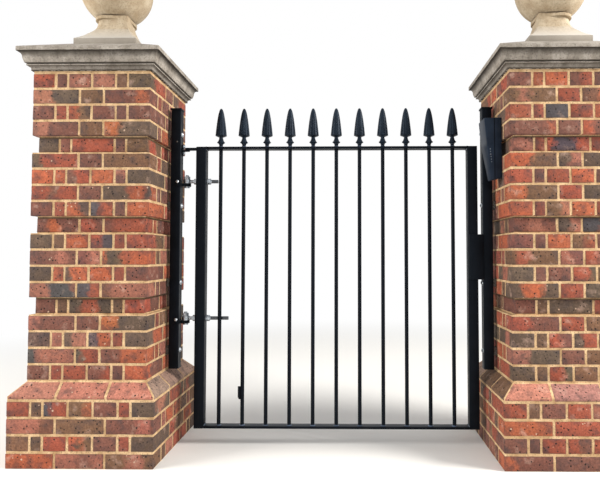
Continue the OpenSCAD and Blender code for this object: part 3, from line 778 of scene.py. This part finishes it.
for side in ("left", "right"):
    roundedCopy(side + "_cap", side + "CapWeatheredAndShaded", capMaterial, fixedBody, "cap")
    roundedCopy(side + "_finial_base", side + "FinialBaseWeatheredAndShaded", finialMaterial,
                fixedBody, "finialBase")
for node, name, body in (("hinge_post", "hingePostRounded", fixedBody),
                         ("latch_post", "latchPostRounded", fixedBody),
                         ("hinge_stile", "hingeStileRounded", leafBody),
                         ("latch_stile", "latchStileRounded", leafBody)):
    roundedCopy(node, name, paintMaterial, body, "boxEnd", "boxCorner")
for node, name in (("top_rail", "topRailEased"), ("bottom_rail", "bottomRailEased"),
                   ("top_pivot_arm", "pivotArmEased"), ("bar_tab", "barTabEased")):
    roundedCopy(node, name, paintMaterial, leafBody, "flat")
for node, name in (("lower_hinge_bracket", "lowerBracketEased"), ("upper_hinge_bracket", "upperBracketEased"),
                   ("top_pivot_bracket", "pivotBracketEased"), ("strike_plate", "strikePlateEased")):
    roundedCopy(node, name, paintMaterial, fixedBody, "bracket")
roundedCopy("entry_housing", "entryHousingFolded", sheetMaterial, fixedBody, "housing")
print("edges eased")

for name, node in nodes.items():
    if node.hide_render:
        continue
    if "finial" in name:
        finish = finialMaterial
    elif name.startswith("railhead"):
        finish = castingMaterial
    elif name.endswith("_packers"):
        finish = greyedMaterial
    elif name.endswith(("_bolts", "_pin", "_eye_bolt")):
        finish = zincMaterial
    else:
        finish = paintMaterial
    node.data.materials.clear()
    node.data.materials.append(finish)

welds = {
    "bars": 11,
    "ringRadius": 0.0048,
    "ringSteps": 20,
    "round": 6,
    "seamRadius": 0.003,
    "seamStep": 0.004,
    "railEndIn": 0.003,
    "armEndIn": 0.002,
    "sunk": 0.0005,  # the seam on a rail's top lies this far into the corner
    "ripple": 0.22,
    "rippleMm": 5,
}


def addBit(bm, bit):
    # joins a small finished bmesh to the piece it belongs to
    carrier = bpy.data.meshes.new("carrier")
    bit.to_mesh(carrier)
    bit.free()
    bm.from_mesh(carrier)
    bpy.data.meshes.remove(carrier)


def standOn(centre, outward):
    # turns what was made upright at the origin to stand on a face
    return Matrix.Translation(centre) @ outward.to_track_quat("Z", "Y").to_matrix().to_4x4()


def rippleFrom(core, vert):
    # swells or thins a bead about its core, as the weld pool left it
    swell = 1 + welds["ripple"] * noise.noise(vert.co * perMetre(welds["rippleMm"]))
    vert.co = core + (vert.co - core) * swell


def ringWeld(bm, centre, radius):
    # a fillet run round a bar
    w = welds
    bit = bmesh.new()
    start = Matrix.Translation(centre + Vector((radius, 0, 0))) @ Matrix.Rotation(math.pi / 2, 4, "X")
    made = bmesh.ops.create_circle(bit, segments=w["round"], radius=w["ringRadius"], matrix=start)
    bmesh.ops.spin(bit, geom=made["verts"] + list(bit.edges), cent=centre, axis=(0, 0, 1), angle=2 * math.pi,
                   steps=w["ringSteps"], use_merge=True)
    for vert in bit.verts:
        arm = vert.co - centre
        rippleFrom(centre + Vector((arm.x, arm.y, 0)).normalized() * radius, vert)
    addBit(bm, bit)


def seamWeld(bm, start, end):
    # a straight fillet run between two points
    w = welds
    bit = bmesh.new()
    span = end - start
    bmesh.ops.create_cone(bit, cap_ends=True, segments=w["round"], radius1=w["seamRadius"],
                          radius2=w["seamRadius"], depth=span.length, matrix=standOn((start + end) / 2, span))
    sides = [edge for edge in bit.edges if edge.calc_length() > span.length * 0.9]
    bmesh.ops.subdivide_edges(bit, edges=sides, cuts=max(1, round(span.length / w["seamStep"])))
    for vert in bit.verts:
        rippleFrom(start + span * ((vert.co - start).dot(span) / span.length_squared), vert)
    addBit(bm, bit)


def weldLeaf():
    w = welds
    bm = bmesh.new()
    railLow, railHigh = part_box("bottom_rail")
    topLow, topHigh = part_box("top_rail")
    for number in range(1, w["bars"] + 1):
        barLow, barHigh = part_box(f"bar_{number:02d}")
        middle = (barLow + barHigh) / 2
        radius = (barHigh.x - barLow.x) / 2
        ringWeld(bm, Vector((middle.x, middle.y, railHigh.z)), radius)
        ringWeld(bm, Vector((middle.x, middle.y, topHigh.z)), radius)
    front, rear = railLow.y + w["railEndIn"], railHigh.y - w["railEndIn"]
    for x in (railLow.x, railHigh.x):
        for z in (railHigh.z, topHigh.z - w["sunk"], topLow.z):
            seamWeld(bm, Vector((x, front, z)), Vector((x, rear, z)))
    armLow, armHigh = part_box("top_pivot_arm")
    front, rear = armLow.y + w["armEndIn"], armHigh.y - w["armEndIn"]
    seamWeld(bm, Vector((armHigh.x, front, armLow.z)), Vector((armHigh.x, rear, armLow.z)))
    bmesh.ops.recalc_face_normals(bm, faces=bm.faces)
    makePiece("leafWelds", bm, weldSheenMaterial, leafBody)


weldLeaf()
print("leaf welded")

fittings = {
    "earDome": (0.0085, 0.006),  # radius and rise
    "earAt": (0.0125, 0.014),  # from the bracket's left edge and down from its top
    "pivotHex": (0.0075, 0.0053),  # radius and depth
    "pivotPlate": 0.005,
    "pivotAt": (0.0135, 0.009),  # up from the bracket's foot and down from its top
    "hexEase": 0.0007,
    "washer": (1.2, 0.0016),  # how much wider than the head, and how thick
    "screw": (0.0045, 0.0022),
    "screwAt": (-0.783, -0.025, 1.527),
    "dot": (0.0016, 0.0012),
    "dotCount": 6,
    "dotAt": (0.7805, 0.089),  # across, and up from the housing's foot
    "dotLean": 0.0012,
    "dotPitch": 0.0124,
    "foldX": 0.795,  # the housing's front is folded here, and falls back from there to the left
    "panelFall": 0.007,
    "sliver": 0.00001,  # closer than this to a cut, a vertex joins it
}


def domeHead(bm, centre, outward, radius, rise):
    # half a sphere, flattened to the rise of its head, standing on a face
    bit = bmesh.new()
    bmesh.ops.create_uvsphere(bit, u_segments=20, v_segments=12, radius=radius)
    out = bmesh.ops.bisect_plane(bit, geom=bit.verts[:] + bit.edges[:] + bit.faces[:], plane_co=(0, 0, 0),
                                 plane_no=(0, 0, -1), clear_outer=True, dist=fittings["sliver"])
    bmesh.ops.edgeloop_fill(bit, edges=[g for g in out["geom_cut"] if isinstance(g, bmesh.types.BMEdge)])
    flat = Matrix.Diagonal((1, 1, rise / radius, 1))
    bmesh.ops.transform(bit, matrix=standOn(centre, outward) @ flat, verts=bit.verts)
    addBit(bm, bit)


def hexHead(bm, centre, outward, radius, depth):
    # washer and hexagon head, its corners eased
    wider, thick = fittings["washer"]
    bit = bmesh.new()
    bmesh.ops.create_cone(bit, cap_ends=True, segments=6, radius1=radius, radius2=radius, depth=depth,
                          matrix=Matrix.Translation((0, 0, thick + depth / 2)))
    bevelEdges(bit, bit.edges[:], fittings["hexEase"])
    bmesh.ops.create_cone(bit, cap_ends=True, segments=24, radius1=radius * wider, radius2=radius * wider,
                          depth=thick, matrix=Matrix.Translation((0, 0, thick / 2)))
    bmesh.ops.transform(bit, matrix=standOn(centre, outward), verts=bit.verts)
    addBit(bm, bit)


def closeFitting(bm, name, material):
    bmesh.ops.recalc_face_normals(bm, faces=bm.faces)
    makePiece(name, bm, material, fixedBody)


def fitBolts():
    f = fittings
    forward, inward = Vector((0, -1, 0)), Vector((1, 0, 0))
    bm = bmesh.new()
    across, down = f["earAt"]
    for node in ("lower_hinge_bracket", "upper_hinge_bracket"):
        low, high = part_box(node)
        domeHead(bm, Vector((low.x + across, low.y, high.z - down)), forward, *f["earDome"])
    low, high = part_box("top_pivot_bracket")
    up, down = f["pivotAt"]
    for z in (low.z + up, high.z - down):
        hexHead(bm, Vector((low.x + f["pivotPlate"], (low.y + high.y) / 2, z)), inward, *f["pivotHex"])
    closeFitting(bm, "bracketBolts", zincMaterial)
    bm = bmesh.new()
    domeHead(bm, Vector(f["screwAt"]), forward, *f["screw"])
    closeFitting(bm, "postScrew", greyedMaterial)
    bm = bmesh.new()
    low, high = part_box("entry_housing")
    across, up = f["dotAt"]
    for step in range(f["dotCount"]):
        x = across - step * f["dotLean"]
        fallBack = f["panelFall"] * (f["foldX"] - x) / (f["foldX"] - low.x)
        z = low.z + up + step * f["dotPitch"]
        domeHead(bm, Vector((x, low.y + fallBack, z)), forward, *f["dot"])
    closeFitting(bm, "housingDots", zincMaterial)


fitBolts()
print("fittings made")

stageLook = {"floor": "#f2f1ee", "floorSize": 30.0, "floorRough": 0.9, "fadeStart": 2.4, "fadeEnd": 5.5,
             "worldStrength": 0.55}


def meetsWhite(tree, *rays):
    # 1 for the rays that are to meet plain white
    path = addNode(tree, "ShaderNodeLightPath")
    seen = path.outputs[rays[0]]
    for ray in rays[1:]:
        both = addNode(tree, "ShaderNodeMath", {0: seen, 1: path.outputs[ray]}, operation="MAXIMUM")
        seen = both.outputs[0]
    return seen


def buildStage():
    s = stageLook
    white = (1, 1, 1, 1)
    bm = bmesh.new()
    bmesh.ops.create_grid(bm, x_segments=1, y_segments=1, size=s["floorSize"])
    mesh = bpy.data.meshes.new("studioFloor")
    bm.to_mesh(mesh)
    bm.free()
    floor = bpy.data.objects.new("studioFloor", mesh)
    bpy.context.scene.collection.objects.link(floor)
    # a pale matt floor that keeps the shadow near the gate and fades to white further out
    material, tree, shader, place = startMaterial("paleStudioFloor")
    shader.inputs["Base Color"].default_value = linear(s["floor"])
    shader.inputs["Roughness"].default_value = s["floorRough"]
    away = addNode(tree, "ShaderNodeVectorMath", {0: place}, operation="LENGTH").outputs["Value"]
    fade = addNode(tree, "ShaderNodeMapRange",
                   {"Value": away, "From Min": s["fadeStart"], "From Max": s["fadeEnd"]},
                   interpolation_type="SMOOTHSTEP").outputs[0]
    seen = meetsWhite(tree, "Is Camera Ray", "Is Glossy Ray")
    share = addNode(tree, "ShaderNodeMath", {0: fade, 1: seen}, operation="MULTIPLY").outputs[0]
    glow = addNode(tree, "ShaderNodeEmission", {"Color": white, "Strength": 1.0}).outputs[0]
    mixed = addNode(tree, "ShaderNodeMixShader", {0: share, 1: shader.outputs[0], 2: glow})
    tree.links.new(mixed.outputs[0], tree.nodes["Material Output"].inputs["Surface"])
    mesh.materials.append(material)

    world = bpy.data.worlds.new("studioWorld")
    bpy.context.scene.world = world
    world.use_nodes = True
    tree = world.node_tree
    seen = meetsWhite(tree, "Is Camera Ray", "Is Glossy Ray", "Is Transmission Ray")
    strength = addNode(tree, "ShaderNodeMapRange",
                       {"Value": seen, "To Min": s["worldStrength"], "To Max": 1.0}).outputs[0]
    tree.links.new(strength, tree.nodes["Background"].inputs["Strength"])
    tree.nodes["Background"].inputs["Color"].default_value = white


lamps = {
    "keyLamp": {"place": (5.0, -1.5, 3.9), "target": (-0.4, 0, 1.1), "size": 2.2, "power": 455,
                "colour": (1.0, 0.97, 0.92)},
    "fillLamp": {"place": (-5.0, -1.8, 2.6), "target": (0.3, 0, 0.9), "size": 3.4, "power": 270,
                 "colour": (1.0, 0.98, 0.94)},
}


def addLamp(name):
    look = lamps[name]
    data = bpy.data.lights.new(name, "AREA")
    data.shape = "DISK"
    data.size = look["size"]
    data.energy = look["power"]
    data.color = look["colour"]
    lamp = bpy.data.objects.new(name, data)
    bpy.context.scene.collection.objects.link(lamp)
    lamp.location = look["place"]
    beam = Vector(look["target"]) - Vector(look["place"])
    lamp.rotation_euler = beam.to_track_quat("-Z", "Y").to_euler()


# found by least squares from the brick courses and the bars
viewCamera = {"sensor": 36, "lens": 33.0, "shift": (-0.0703, -0.0292), "place": (0.097, -2.7932, 0.9516),
              "lookUp": 0.0401, "turnLeft": 0.0142}


def aimCamera():
    v = viewCamera
    data = bpy.data.cameras.new("viewCamera")
    data.sensor_width = v["sensor"]
    data.lens = v["lens"]
    data.shift_x, data.shift_y = v["shift"]
    camera = bpy.data.objects.new("viewCamera", data)
    bpy.context.scene.collection.objects.link(camera)
    camera.location = v["place"]
    camera.rotation_euler = (math.pi / 2 + v["lookUp"], 0.0, v["turnLeft"])
    bpy.context.scene.camera = camera


buildStage()
for name in lamps:
    addLamp(name)
aimCamera()
bpy.context.scene.view_settings.view_transform = "Standard"
print("stage and camera set")
